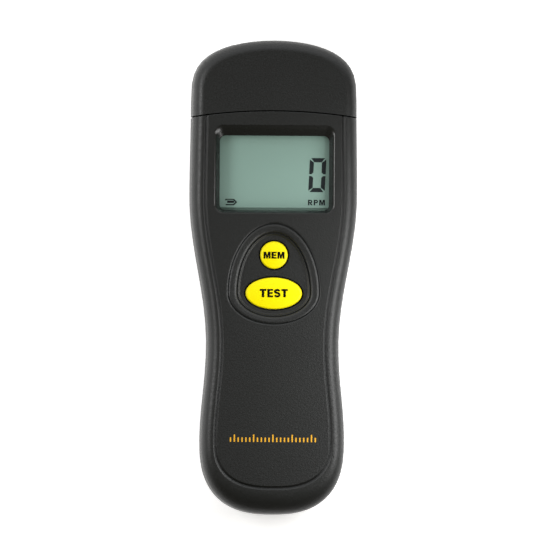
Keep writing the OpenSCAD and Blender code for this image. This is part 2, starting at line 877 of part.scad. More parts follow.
module receiver_lens() {
    color(clear_colour) domed_lens(receiver_x, holder_front_y - lens_seat, receiver_diameter / 2, 1.4, 2.4);
}

module photodiode() {
    half_w = 2.5;
    half_h = 2.2;
    depth = 1.8;
    dome_r = 1.6;
    dome_rise = 0.5;
    color("#3a2a30") translate([receiver_x, holder_back_y, beam_z]) {
        bar(half_w, 0, depth, -half_h, half_h);
        translate([0, depth, 0]) rotate([-90, 0, 0]) cylinder(r = dome_r, h = dome_rise);
    }
}

// Block battery with a plain and a flared terminal on its end
module battery() {
    can_corner = 2;
    stud_r = 2.9;
    socket_r = 3.9;
    color("#6d7076") translate([0, snap_y, battery_mid]) {
        rotate([90, 0, 0]) linear_extrude(snap_y - battery_y)
            rounded_rect(battery_width, battery_height, can_corner);
        translate([-terminal_spacing / 2, 0, 0]) rotate([-90, 0, 0])
            cylinder(r = stud_r, h = terminal_height);
        translate([terminal_spacing / 2, 0, 0]) rotate([-90, 0, 0])
            cylinder(r = socket_r, h = terminal_height, $fn = 6);
    }
}

module battery_snap() {
    half_height = 6;
    pocket_r = 4.2;
    color(dark_colour) difference() {
        bar(terminal_spacing, snap_y + 0.1, snap_y + snap_thickness,
            battery_mid - half_height, battery_mid + half_height);
        for (side = [-1, 1]) translate([side * terminal_spacing / 2, snap_y - 1, battery_mid])
            rotate([-90, 0, 0]) cylinder(r = pocket_r, h = terminal_height + 1.2);
    }
}

// Lead from the snap, through the slot in the bay's end wall, up to the board
function lead_path() =
    let (y0 = snap_y + snap_thickness, z0 = battery_mid, zs = lead_slot_z + 1.6)
    [
        [y0, z0], [y0 + 1, z0], [y0 + 2, z0 + 0.6], [y0 + 2.6, z0 + 2], [y0 + 2.9, (z0 + zs) / 2],
        [y0 + 3.3, zs - 1.4], [y0 + 4.4, zs - 0.3], [bay_head_y, zs], [bay_head_y + bay_wall + 1, zs],
        [lead_end_y - 1.4, zs + 0.5], [lead_end_y - 0.4, zs + 1.6], [lead_end_y, board_bottom - 1.2],
        [lead_end_y, board_bottom]
    ];

// Tube along a path of [y, z] points in a plane across X
module lead(x) {
    path = lead_path();
    last = len(path) - 1;
    n = 8;
    rings = [
        for (i = [0:last])
            let (
                d = i == 0 ? [1, 0] : i == last ? [0, 1] : path[i + 1] - path[i - 1],
                u = d / norm(d))
            for (k = [0:n - 1]) let (a = 360 * k / n, c = lead_d / 2 * cos(a), s = lead_d / 2 * sin(a))
                [x + c, path[i][0] - u[1] * s, path[i][1] + u[0] * s]
    ];
    polyhedron(
        points = rings,
        faces = concat(
            [for (k = [1:n - 2]) [0, k + 1, k]],
            [for (i = [0:last - 1]) each [
                for (k = [0:n - 1]) let (a = i * n + k, b = i * n + (k + 1) % n)
                    for (t = [[a, b, b + n], [a, b + n, a + n]]) t]],
            [for (k = [1:n - 2]) [last * n, last * n + k, last * n + k + 1]]));
}

module red_lead() { color("#b3201c") lead(-lead_spacing / 2); }
module black_lead() { color("#151515") lead(lead_spacing / 2); }

module battery_pad() {
    color("#404246") bar(bay_half - 3, bay_tail_y, bay_tail_y + pad_thickness, battery_z + 2, bay_roof - 2);
}

// Screw with its head down, seated at z, with a cross in the head
module screw(r, head_r, head_h, z, length) {
    difference() {
        union() {
            post(head_r, z - head_h, z);
            post(r, z - eps, z + length);
        }
        for (a = [0, 90]) rotate([0, 0, a])
            bar(head_r * 0.65, -head_r * 0.12, head_r * 0.12, z - head_h - 1, z - head_h / 2);
    }
}

module case_screws() {
    color(steel_colour) at(case_screw_spots)
        screw(case_screw_r, case_head_r, case_head_h, case_seat_z,
            parting_height - case_seat_z + case_screw_bite);
}

module board_screws() {
    color(steel_colour) at(board_screw_spots)
        screw(board_screw_r, board_screw, board_head_h, board_bottom, board_thickness + 4.5);
}

module optics_screws() {
    color(steel_colour) for (side = [-1, 1])
        translate([side * ear_x, ear_y, tray_top + ear_height]) mirror([0, 0, 1])
            screw(board_screw_r, board_screw, board_head_h, 0, ear_height + 1.8);
}

// Sliding door that takes in the end of the tail, with side tongues, a hook and grip ribs
module battery_door() {
    ribs = 5;
    rib_pitch = 2;
    rib_depth = 0.6;
    grip_half = 8;
    grip_start = 8;
    color(case_colour) difference() {
        union() {
            difference() {
                intersection() {
                    body_form(rear_levels, seam_station);
                    bar(door_half, tail_end - 1, door_head_y, -1, door_top_z);
                }
                body_form([for (i = [0:2]) hollow(0, front_edge_tail)[i]], seam_station);
                bar(door_half + 1, bay_tail_y - bay_wall - fit_gap, 0, door_thickness, door_top_z + 1);
            }
            bar(door_half + tongue_reach, tail_end + 20, door_head_y - 1,
                lip_thickness + slide_gap, door_thickness);
            bar(hook_half, door_head_y - 2, door_head_y + hook_reach,
                lip_thickness + slide_gap, door_thickness);
        }
        for (i = [0:ribs - 1]) translate([0, door_head_y - grip_start - i * rib_pitch, 0])
            bar(grip_half - i, -rib_pitch / 4, rib_pitch / 4, -1, rib_depth);
    }
}

front_shell();
rear_shell();
head_cap();
display_window();
beam_window();
lcd_panel();
lcd_frame();
contact_strips();
main_board();
controller_chip();
crystal();
capacitors();
test_switch();
mem_switch();
link_header();
sensor_board();
optics_holder();
laser_barrel();
laser_lens();
receiver_lens();
photodiode();
battery();
battery_snap();
red_lead();
black_lead();
battery_pad();
case_screws();
board_screws();
optics_screws();
test_key();
test_plunger();
mem_key();
mem_plunger();
battery_door();
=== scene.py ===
import math

import bmesh
import bpy
from mathutils import Matrix, Vector


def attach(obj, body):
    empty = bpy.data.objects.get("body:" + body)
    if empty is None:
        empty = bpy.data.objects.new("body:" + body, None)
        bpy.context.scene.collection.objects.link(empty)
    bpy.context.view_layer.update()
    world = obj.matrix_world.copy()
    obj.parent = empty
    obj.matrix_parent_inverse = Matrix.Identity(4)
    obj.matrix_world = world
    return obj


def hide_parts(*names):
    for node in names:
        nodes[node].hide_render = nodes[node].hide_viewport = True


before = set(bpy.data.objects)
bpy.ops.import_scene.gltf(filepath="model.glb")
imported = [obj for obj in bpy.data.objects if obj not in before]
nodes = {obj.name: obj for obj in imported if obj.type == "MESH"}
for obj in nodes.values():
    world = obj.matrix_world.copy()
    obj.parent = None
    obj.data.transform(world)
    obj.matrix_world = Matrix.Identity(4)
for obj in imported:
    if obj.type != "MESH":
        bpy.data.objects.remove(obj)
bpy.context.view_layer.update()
MM = 0.001

# Sizes of the housing in millimetres. They follow the part's source, apart from the panel, which is 0.02
# lower, under its print, and the display opening, its bevels and the keys' slack, which are set for looks
TAIL_END = -91.5
TAIL_W, TAIL_S, WAIST_W, WAIST_S = 55.9, 28.3, 51.2, 65.2
CHEST_W, CHEST_S, HEAD_W, SHOULDER_S = 64.785, 123.0, 64.0, 158.5
TAIL_POWER = 2.55
FRONT_Z, SHOULDER_Z, PARTING_Z = 33.98, 28.0, 15.0
EDGE_SIDE, EDGE_TAIL, DRAFT = 4.8, 9.6, 0.5
GROOVE_START, GROOVE_W, GROOVE_D = 0.1, 1.7, 0.5
WALL = 2.2
SEAM_Y, SEAM_R = 63.65, 208.0
WINDOW_Y, WINDOW_W, WINDOW_H, WINDOW_R = 40.0, 42.0, 28.6, 2.2
BEVEL_SIDE, BEVEL_TOP, BEVEL_BOTTOM, BEVEL_D = 2.1, 3.95, 1.2, 2.6
ROOF_Z = 30.52
DISH_Y, DISH_HALF, DISH_UP, DISH_DOWN = -6.0, 17.95, 26.9, 12.4
DISH_FLOOR, DISH_SHARE = 32.1, 0.84
MEM_Y, MEM_R, TEST_Y, TEST_RX, TEST_RY, KEY_GAP = 8.45, 5.45, -6.25, 11.0, 6.25, 0.4
KEY_TOP, KEY_CROWN, KEY_SLACK, KEY_ROUND = 33.6, 0.5, 0.18, 0.8
FLANGE_LOW, FLANGE_TOP, FLANGE_REACH, SKIRT_Z = 28.6, 30.0, 1.4, 31.9
LCD_TOP = 28.8


def ease(a, b, t):
    return a + (b - a) * (1 - math.cos(math.pi * t)) / 2


def half_width(s):
    if s < WAIST_S:
        return ease(TAIL_W, WAIST_W, (s - TAIL_S) / (WAIST_S - TAIL_S)) / 2
    if s < CHEST_S:
        return ease(WAIST_W, CHEST_W, (s - WAIST_S) / (CHEST_S - WAIST_S)) / 2
    return ease(CHEST_W, HEAD_W, (s - CHEST_S) / (SHOULDER_S - CHEST_S)) / 2


def seam_at(x):
    return SEAM_Y - SEAM_R + math.sqrt(SEAM_R * SEAM_R - x * x)


# Materials; nearly all values of a noise lie between these two
NOISE_LOW, NOISE_HIGH = 0.3, 0.7


def tex_chain(mat, scale, detail=4.0, rough=0.55):
    nt = mat.node_tree
    coord = nt.nodes.new("ShaderNodeTexCoord")
    noise = nt.nodes.new("ShaderNodeTexNoise")
    noise.inputs["Scale"].default_value = scale
    noise.inputs["Detail"].default_value = detail
    noise.inputs["Roughness"].default_value = rough
    nt.links.new(coord.outputs["Object"], noise.inputs["Vector"])
    return noise


def ramp(mat, fac, stops):
    node = mat.node_tree.nodes.new("ShaderNodeValToRGB")
    for element, (place, colour) in zip(node.color_ramp.elements, stops):
        element.position = place
        element.color = (*colour, 1)
    mat.node_tree.links.new(fac, node.inputs["Fac"])
    return node.outputs["Color"]


def spread(mat, fac, low, high):
    node = mat.node_tree.nodes.new("ShaderNodeMapRange")
    node.inputs["From Min"].default_value = NOISE_LOW
    node.inputs["From Max"].default_value = NOISE_HIGH
    node.inputs["To Min"].default_value = low
    node.inputs["To Max"].default_value = high
    mat.node_tree.links.new(fac, node.inputs["Value"])
    return node.outputs["Result"]


def tint(colour, k):
    return tuple(min(1.0, c * k) for c in colour)


def surface(name, colour, rough, vary=0.12, grain=2600.0, grain_depth=0.00003, grain_strength=0.25,
            cloud=60.0, rough_vary=0.06, **sockets):
    """Principled material with cloudy colour, uneven roughness and a fine grain in its bump."""
    mat = bpy.data.materials.new(name)
    mat.use_nodes = True
    nt = mat.node_tree
    bsdf = nt.nodes["Principled BSDF"]
    for key, value in sockets.items():
        bsdf.inputs[key.replace("_", " ")].default_value = value
    clouds = tex_chain(mat, cloud)
    col = ramp(mat, clouds.outputs["Fac"],
               [(NOISE_LOW, tint(colour, 1 - vary)), (NOISE_HIGH, tint(colour, 1 + vary))])
    nt.links.new(col, bsdf.inputs["Base Color"])
    fine = tex_chain(mat, grain, 2.0, 0.6)
    nt.links.new(spread(mat, fine.outputs["Fac"], rough - rough_vary, rough + rough_vary),
                 bsdf.inputs["Roughness"])
    bump = nt.nodes.new("ShaderNodeBump")
    bump.inputs["Strength"].default_value = grain_strength
    bump.inputs["Distance"].default_value = grain_depth
    nt.links.new(fine.outputs["Fac"], bump.inputs["Height"])
    nt.links.new(bump.outputs["Normal"], bsdf.inputs["Normal"])
    return mat


case_mat = surface("case_black", (0.0056, 0.0065, 0.0063), 0.47, vary=0.10, grain=1500, grain_depth=0.00009,
                   grain_strength=0.9, Specular_IOR_Level=0.45)
bevel_mat = surface("bevel_black", (0.0056, 0.0062, 0.0058), 0.29, vary=0.05, grain=1500, grain_strength=0.1,
                    rough_vary=0.02, Specular_IOR_Level=0.45)
key_mat = surface("key_yellow", (0.77, 0.66, 0.0004), 0.38, vary=0.02, grain=1500, grain_strength=0.06,
                  Specular_IOR_Level=0.2)
print_mat = surface("key_print", (0.003, 0.0028, 0.0025), 0.6, vary=0.1, grain=3000, grain_strength=0.05,
                    Specular_IOR_Level=0.03)
mark_mat = surface("panel_print", (0.70, 0.36, 0.015), 0.45, vary=0.05, grain=3000, grain_strength=0.05)
segment_mat = surface("lcd_segment", (0.006, 0.010, 0.012), 0.5, vary=0.08, grain=2500, grain_strength=0.02,
                      Specular_IOR_Level=0.1)
lcd_mat = surface("lcd_glass", (0.212, 0.336, 0.288), 0.5, vary=0.02, grain=1800, cloud=30,
                  grain_strength=0.02)
window_mat = surface("clear_window", (0.10, 0.11, 0.11), 0.06, vary=0.01, grain=500, grain_strength=0.01,
                     rough_vary=0.01, Alpha=0.05)
beam_mat = surface("beam_red", (0.16, 0.006, 0.010), 0.08, vary=0.05, grain=600, grain_strength=0.02,
                   rough_vary=0.02, Alpha=0.72)
cream_mat = surface("cream_plastic", (0.58, 0.53, 0.42), 0.5, vary=0.04)
rubber_mat = surface("pink_rubber", (0.55, 0.30, 0.33), 0.7, vary=0.08)
board_mat = surface("board_green", (0.022, 0.12, 0.040), 0.35, vary=0.18, cloud=420)
dark_mat = surface("dark_plastic", (0.016, 0.016, 0.018), 0.45, vary=0.12)
steel_mat = surface("screw_steel", (0.55, 0.56, 0.58), 0.32, vary=0.06, grain=1600, Metallic=1.0)
can_mat = surface("crystal_can", (0.62, 0.62, 0.60), 0.25, vary=0.05, grain=900, Metallic=1.0)
sleeve_mat = surface("blue_sleeve", (0.02, 0.035, 0.11), 0.35, vary=0.08)
brass_mat = surface("laser_brass", (0.70, 0.47, 0.16), 0.28, vary=0.08, grain=1200, Metallic=1.0)
lens_mat = surface("lens_glass", (0.85, 0.92, 0.95), 0.04, vary=0.01, grain=400, rough_vary=0.01, Alpha=0.35)
diode_mat = surface("diode_dark", (0.035, 0.016, 0.022), 0.2, vary=0.1)
battery_mat = surface("battery_can", (0.16, 0.17, 0.19), 0.34, vary=0.06, grain=1200, Metallic=0.6)
red_mat = surface("lead_red", (0.42, 0.018, 0.014), 0.42, vary=0.06)
black_mat = surface("lead_black", (0.012, 0.012, 0.012), 0.42, vary=0.1)
foam_mat = surface("grey_foam", (0.055, 0.058, 0.064), 0.9, vary=0.3, grain=1400, grain_depth=0.0002,
                   grain_strength=0.8, cloud=900)
plunger_mat = surface("plunger_white", (0.74, 0.71, 0.64), 0.4, vary=0.03)

FINISH = {
    "front_shell": case_mat, "rear_shell": case_mat, "head_cap": case_mat, "battery_door": case_mat,
    "display_window": window_mat, "beam_window": beam_mat, "lcd_panel": lcd_mat, "lcd_frame": cream_mat,
    "contact_strips": rubber_mat, "main_board": board_mat, "sensor_board": board_mat,
    "controller_chip": dark_mat, "crystal": can_mat, "capacitors": sleeve_mat, "test_switch": dark_mat,
    "mem_switch": dark_mat, "link_header": dark_mat, "optics_holder": dark_mat, "laser_barrel": brass_mat,
    "laser_lens": lens_mat, "receiver_lens": lens_mat, "photodiode": diode_mat, "battery": battery_mat,
    "battery_snap": dark_mat, "red_lead": red_mat, "black_lead": black_mat, "battery_pad": foam_mat,
    "case_screws": steel_mat, "board_screws": steel_mat, "optics_screws": steel_mat,
    "test_key": key_mat, "mem_key": key_mat, "test_plunger": plunger_mat, "mem_plunger": plunger_mat,
}


# CAD nodes: welded, and smooth where faces meet at a low angle

def smoothing_group():
    group = bpy.data.node_groups.new("weld_and_smooth", "GeometryNodeTree")
    group.interface.new_socket("Geometry", in_out="INPUT", socket_type="NodeSocketGeometry")
    group.interface.new_socket("Geometry", in_out="OUTPUT", socket_type="NodeSocketGeometry")
    n, link = group.nodes, group.links.new
    gin, gout = n.new("NodeGroupInput"), n.new("NodeGroupOutput")
    weld = n.new("GeometryNodeMergeByDistance")
    weld.inputs["Distance"].default_value = 2e-6
    clear = n.new("GeometryNodeRemoveAttribute")
    clear.inputs["Name"].default_value = "custom_normal"
    face = n.new("GeometryNodeSetShadeSmooth")
    face.domain = "FACE"
    edge = n.new("GeometryNodeSetShadeSmooth")
    edge.domain = "EDGE"
    angle = n.new("GeometryNodeInputMeshEdgeAngle")
    sharp = n.new("FunctionNodeCompare")
    sharp.data_type = "FLOAT"
    sharp.operation = "GREATER_THAN"
    sharp.inputs["B"].default_value = math.radians(30)
    link(gin.outputs[0], weld.inputs["Geometry"])
    link(weld.outputs["Geometry"], clear.inputs["Geometry"])
    link(clear.outputs["Geometry"], face.inputs["Geometry"])
    link(face.outputs["Geometry"], edge.inputs["Geometry"])
    link(angle.outputs["Unsigned Angle"], sharp.inputs["A"])
    link(sharp.outputs["Result"], edge.inputs["Selection"])
    edge.inputs["Shade Smooth"].default_value = False
    link(edge.outputs["Geometry"], gout.inputs[0])
    return group


smooth_group = smoothing_group()
for name, obj in nodes.items():
    obj.data.materials.clear()
    obj.data.materials.append(FINISH[name])
    obj.modifiers.new("smooth", "NODES").node_group = smooth_group
    obj.modifiers.new("normals", "WEIGHTED_NORMAL").keep_sharp = True


# Mesh building

class Skin:
    def __init__(self):
        self.bm = bmesh.new()

    def ring(self, points):
        return [self.bm.verts.new((x * MM, y * MM, z * MM)) for x, y, z in points]

    def bridge(self, a, b, closed=True):
        n = len(a)
        for i in range(n if closed else n - 1):
            j = (i + 1) % n
            self.bm.faces.new((a[i], a[j], b[j], b[i]))

    def stack(self, rings, closed=True):
        for a, b in zip(rings, rings[1:]):
            self.bridge(a, b, closed)

    def fill(self, *loops):
        edges = []
        for loop in loops:
            for i, v in enumerate(loop):
                w = loop[(i + 1) % len(loop)]
                edges.append(self.bm.edges.get((v, w)) or self.bm.edges.new((v, w)))
        bmesh.ops.triangle_fill(self.bm, use_beauty=True, use_dissolve=False, edges=edges)

    def done(self, name, mat, body, sharp=35):
        bm = self.bm
        bmesh.ops.recalc_face_normals(bm, faces=bm.faces)
        mesh = bpy.data.meshes.new(name)
        bm.to_mesh(mesh)
        bm.free()
        mesh.polygons.foreach_set("use_smooth", [True] * len(mesh.polygons))
        mesh.set_sharp_from_angle(angle=math.radians(sharp))
        obj = bpy.data.objects.new(name, mesh)
        bpy.context.scene.collection.objects.link(obj)
        mesh.materials.append(mat)
        obj.modifiers.new("normals", "WEIGHTED_NORMAL").keep_sharp = True
        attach(obj, body)
        return obj


def rounded_rect(w, h, r, cy, z, n=8):
    points = []
    for cx, sy, start in ((1, -1, -90), (1, 1, 0), (-1, 1, 90), (-1, -1, 180)):
        for i in range(n + 1):
            a = math.radians(start + 90 * i / n)
            points.append((cx * (w / 2 - r) + r * math.cos(a), cy + sy * (h / 2 - r) + r * math.sin(a), z))
    return points


def oval(rx, ry, cy, z, n=96):
    turns = [2 * math.pi * i / n for i in range(n)]
    return [(rx * math.sin(a), cy + ry * math.cos(a), z) for a in turns]


def egg(inset, z, n=128):
    points = []
    for i in range(n):
        a = 2 * math.pi * i / n
        reach = DISH_UP - inset if math.cos(a) > 0 else DISH_DOWN - DISH_SHARE * inset
        points.append(((DISH_HALF - inset) * math.sin(a), DISH_Y + reach * math.cos(a), z))
    return points


# Front shell: the CAD node's form with finer steps and rounded lips

SIDE_N, TAIL_N, LIP_N, LIP = 72, 44, 4, 0.3
EDGE_N, ARC_N, LEVEL_TOL = 14, 24, 0.01
# Lip at the parting line: height over it, inset
PARTING_ROWS = ((0.0, 0.3), (0.1, 0.12), (0.3, 0.0))
# Panel groove: share of its width, share of its depth
GROOVE_ROWS = ((0.03, 0.0), (0.08, 0.05), (0.13, 0.16), (0.44, 1.12), (0.5, 1.2), (0.56, 1.12), (0.87, 0.16),
               (0.92, 0.05), (0.98, 0.0))
# Last row of the edge's rounding, and how far the inner rows step in past it
EDGE_ROW, INNER_STEP = len(PARTING_ROWS) + EDGE_N, 0.2
# Lip of the display opening as a curve through three shares of the bevel's width, and its share of the depth
LIP_SHARES, LIP_DEPTH, BEVEL_N = (1.15, 0.85, 0.50), 0.42, 10
# Foot of the bevel, start and run of its upper side as shares of width and depth, and growth of its corners
FOOT_SHARE, FOOT_DEPTH, UPPER_START, UPPER_RUN, BEVEL_CORNER = 0.06, 0.94, 0.04, 0.90, 1.16
# How far round the display opening faces count as bevel, in bevel widths
BEVEL_ZONE = 1.2
# Dish: inset from its outline, height
DISH_ROWS = (
    (-0.45, FRONT_Z), (-0.28, 33.965), (-0.05, 33.90), (0.14, 33.82), (0.24, 33.72), (0.38, 33.46),
    (0.46, 33.41), (0.54, 33.46), (0.66, 33.66), (0.76, 33.74), (1.00, 33.83), (1.30, 33.92), (1.60, 33.93),
    (2.65, 33.79), (2.85, 33.74), (3.05, 33.67), (3.40, 33.51), (3.52, 33.42), (3.62, 33.25), (3.76, 32.70),
    (3.86, 32.52), (3.96, 32.52), (4.08, 32.64), (4.20, 32.70), (4.34, 32.66), (4.52, 32.46), (4.72, 32.24),
    (4.92, 32.13), (5.30, DISH_FLOOR))
# Key holes: growth past the gap, height
HOLE_ROWS = ((0.18, DISH_FLOOR), (0.06, DISH_FLOOR - 0.04), (0.0, DISH_FLOOR - 0.16), (0.0, ROOF_Z))


def shell_ring(side, end, z, drop=(0.0, 0.0)):
    """Open ring at one level from the seam on the right, round the tail, to the seam on the left."""
    s_end = SEAM_Y - TAIL_END
    for _ in range(12):
        s_end = seam_at(half_width(s_end) - side) - LIP - TAIL_END
    x_end = half_width(s_end) - side
    half = []
    for k in range(LIP_N, 0, -1):
        b = math.radians(90 * k / LIP_N)
        fall = LIP * (1 - math.cos(b))
        half.append((x_end + drop[0] * fall, seam_at(x_end) - LIP + LIP * math.sin(b), z + drop[1] * fall))
    for i in range(SIDE_N):
        s = s_end + (TAIL_S - s_end) * i / SIDE_N
        half.append((half_width(s) - side, TAIL_END + s, z))
    for i in range(TAIL_N + 1):
        a = math.radians(90 - 90 * i / TAIL_N)
        half.append(((TAIL_W / 2 - side) * math.sin(a) ** (2 / TAIL_POWER),
                     TAIL_END + TAIL_S - (TAIL_S - end) * math.cos(a) ** (2 / TAIL_POWER), z))
    return half + [(-x, y, zz) for x, y, zz in half[-2::-1]]


def shell_levels():
    rows = [(PARTING_Z + up, inset, inset) for up, inset in PARTING_ROWS]
    for k in range(EDGE_N + 1):
        a = math.radians(90 * k / EDGE_N)
        turn_in = 1 - math.cos(a)
        rows.append((SHOULDER_Z + (FRONT_Z - SHOULDER_Z) * math.sin(a),
                     DRAFT + (EDGE_SIDE - DRAFT) * turn_in, DRAFT + (EDGE_TAIL - DRAFT) * turn_in))
    for share, depth in GROOVE_ROWS:
        across = GROOVE_START + GROOVE_W * share
        rows.append((FRONT_Z - GROOVE_D * depth, EDGE_SIDE + across, EDGE_TAIL + across))
    return rows


def inner_level(z, side, end):
    """Level of the inner wall that goes with a level of the outer one."""
    if z <= SHOULDER_Z and side < 1:
        return (z, side + WALL, end + WALL)
    t = min(1.0, (z - SHOULDER_Z) / (ROOF_Z - SHOULDER_Z))
    return (SHOULDER_Z + (ROOF_Z - SHOULDER_Z) * t, side + WALL, end + WALL)


def profile_drop(rows, k):
    """Inward normal of the outer profile at a level, across and up."""
    a, b = rows[max(0, k - 1)], rows[min(len(rows) - 1, k + 1)]
    dx, dz = -(b[1] - a[1]), b[0] - a[0]
    length = math.hypot(dx, dz) or 1
    return (-dz / length, dx / length)


def front_shell():
    skin = Skin()
    rows = shell_levels()
    outer = [skin.ring(shell_ring(s, e, z, profile_drop(rows, k))) for k, (z, s, e) in enumerate(rows)]
    inner_rows = []
    for k, row in enumerate(rows):
        z, s, e = inner_level(*row)
        if k > EDGE_ROW:
            past = INNER_STEP * (k - EDGE_ROW)
            z, s, e = ROOF_Z, inner_rows[EDGE_ROW][1] + past, inner_rows[EDGE_ROW][2] + past
        inner_rows.append((z, s, e))
    inner = [skin.ring(shell_ring(s, e, z)) for z, s, e in inner_rows]
    skin.stack(outer, closed=False)
    skin.stack(inner, closed=False)
    skin.bridge(outer[0], inner[0], closed=False)
    for end in (0, -1):
        skin.bridge([r[end] for r in outer], [r[end] for r in inner], closed=False)
    # Arc of the seam across the panel, with its rounded lip, and the end wall under it
    top, low = outer[-1], inner[-1]
    arcs = []
    for k in range(LIP_N + 1):
        right, left = top[LIP_N - k], top[-1 - LIP_N + k]
        row = [right]
        b = math.radians(90 * k / LIP_N)
        x_end = right.co.x / MM
        for j in range(1, ARC_N):
            x = x_end * (1 - 2 * j / ARC_N)
            y, z = seam_at(x) - LIP + LIP * math.sin(b), FRONT_Z - LIP * (1 - math.cos(b))
            row.append(skin.ring([(x, y, z)])[0])
        arcs.append(row + [left])
    skin.stack(arcs, closed=False)
    x_in = low[0].co.x / MM
    inner_arc = [low[0]] + [
        skin.ring([(x_in * (1 - 2 * j / ARC_N), seam_at(x_in * (1 - 2 * j / ARC_N)), ROOF_Z)])[0]
        for j in range(1, ARC_N)] + [low[-1]]
    skin.bridge(arcs[-1], inner_arc, closed=False)
    # Display opening: rounded lip, bevel, short straight wall
    first, middle, last = LIP_SHARES
    lip = [((1 - u) ** 2 * first + 2 * u * (1 - u) * middle + u * u * last, u * u * LIP_DEPTH * BEVEL_D)
           for u in [k / BEVEL_N for k in range(BEVEL_N + 1)]]
    win = []
    slope = BEVEL_TOP * FOOT_DEPTH / (UPPER_RUN * BEVEL_D)
    for t, depth in lip + [(FOOT_SHARE, FOOT_DEPTH * BEVEL_D), (0.015, 0.99 * BEVEL_D), (0.0, BEVEL_D + 0.1),
                           (0.0, FRONT_Z - ROOF_Z)]:
        up = BEVEL_TOP * t
        if t > FOOT_SHARE:
            up = min(up, BEVEL_TOP - slope * (depth - UPPER_START * BEVEL_D))
        low_edge = BEVEL_BOTTOM * t
        win.append(skin.ring(rounded_rect(
            WINDOW_W + 2 * BEVEL_SIDE * t, WINDOW_H + up + low_edge, WINDOW_R + BEVEL_CORNER * t,
            WINDOW_Y + (up - low_edge) / 2, FRONT_Z - depth)))
    skin.stack(win)
    # Dish: fine groove, sloping band, wall in two slopes with a fine groove between, floor
    dish = [skin.ring(egg(inset, z)) for inset, z in DISH_ROWS]
    skin.stack(dish)
    holes = []
    for rx, ry, cy in ((MEM_R, MEM_R, MEM_Y), (TEST_RX, TEST_RY, TEST_Y)):
        hole = [skin.ring(oval(rx + KEY_GAP + g, ry + KEY_GAP + g, cy, z)) for g, z in HOLE_ROWS]
        skin.stack(hole)
        holes.append(hole)
    skin.fill(dish[-1], holes[0][0], holes[1][0])
    skin.fill(top[LIP_N:len(top) - LIP_N] + list(reversed(arcs[0][1:-1])), win[0], dish[0])
    skin.fill(low + list(reversed(inner_arc[1:-1])), win[-1], holes[0][-1], holes[1][-1])
    obj = skin.done("front_shell_form", case_mat, "case")
    obj.data.materials.append(bevel_mat)
    for face in obj.data.polygons:
        x, y, z = face.center / MM
        beside = (abs(x) < WINDOW_W / 2 + BEVEL_ZONE * BEVEL_SIDE
                  and abs(y - WINDOW_Y) < WINDOW_H / 2 + BEVEL_ZONE * BEVEL_TOP)
        face.material_index = int(beside and ROOF_Z + LEVEL_TOL < z < FRONT_Z - LEVEL_TOL)
    return obj


shell = front_shell()
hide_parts("front_shell")


# Keys: the CAD nodes' forms with finer steps and softer edges, dark below the dish floor, where the dark
# skirt is painted shade for the gap round each key

def key_form(name, rx, ry, cy, body):
    skin = Skin()
    rows = [(FLANGE_LOW, FLANGE_REACH), (FLANGE_TOP, FLANGE_REACH), (FLANGE_TOP, -KEY_SLACK),
            (SKIRT_Z, -KEY_SLACK)]
    edge = KEY_TOP - KEY_CROWN
    for i in range(7):
        a = math.radians(15 * i)
        rows.append((edge - KEY_ROUND * (1 - math.sin(a)), -KEY_SLACK - KEY_ROUND * (1 - math.cos(a))))
    rings = [skin.ring(oval(rx + grow, ry + grow, cy, z)) for z, grow in rows]
    inset = KEY_SLACK + KEY_ROUND
    for i in range(9, 0, -1):
        t = i / 10
        rings.append(skin.ring(oval((rx - inset) * t, (ry - inset) * t, cy, KEY_TOP - KEY_CROWN * t * t)))
    skin.stack(rings)
    skin.bm.faces.new(rings[0])
    skin.bm.faces.new(rings[-1])
    obj = skin.done(name + "_form", key_mat, body)
    # Painted shade: faces below SKIRT_Z take the dark plastic so the gap round the key reads as a shadowed
    # ring
    obj.data.materials.append(dark_mat)
    for face in obj.data.polygons:
        face.material_index = int(face.center.z < SKIRT_Z * MM)
    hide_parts(name)


key_form("mem_key", MEM_R, MEM_R, MEM_Y, "mem_key_body")
key_form("test_key", TEST_RX, TEST_RY, TEST_Y, "test_key_body")


# Printed marks and display segments
PRINT_SINK = 0.02


def flat_piece(name, shapes, mat, body, z_at, thick=0.03):
    """Thin raised print: each shape is an outline and its holes, from PRINT_SINK below its surface up."""
    skin = Skin()
    for loops in shapes:
        low = [skin.ring([(x, y, z_at(x, y) - PRINT_SINK) for x, y in loop]) for loop in loops]
        top = [skin.ring([(x, y, z_at(x, y) + thick) for x, y in loop]) for loop in loops]
        for a, b in zip(low, top):
            skin.bridge(a, b)
        skin.fill(*low)
        skin.fill(*top)
    skin.done(name, mat, body)


def arc(cx, cy, rx, ry, a, b, n):
    turns = [math.radians(a + (b - a) * i / n) for i in range(n + 1)]
    return [(cx + rx * math.cos(t), cy + ry * math.sin(t)) for t in turns]


def stroke(line, width):
    """Outline of a line drawn with a pen of that width."""
    left, right = [], []
    for i, (x, y) in enumerate(line):
        (ax, ay), (bx, by) = line[max(0, i - 1)], line[min(len(line) - 1, i + 1)]
        length = math.hypot(bx - ax, by - ay)
        nx, ny = (ay - by) / length * width / 2, (bx - ax) / length * width / 2
        left.append((x + nx, y + ny))
        right.append((x - nx, y - ny))
    return left + right[::-1]


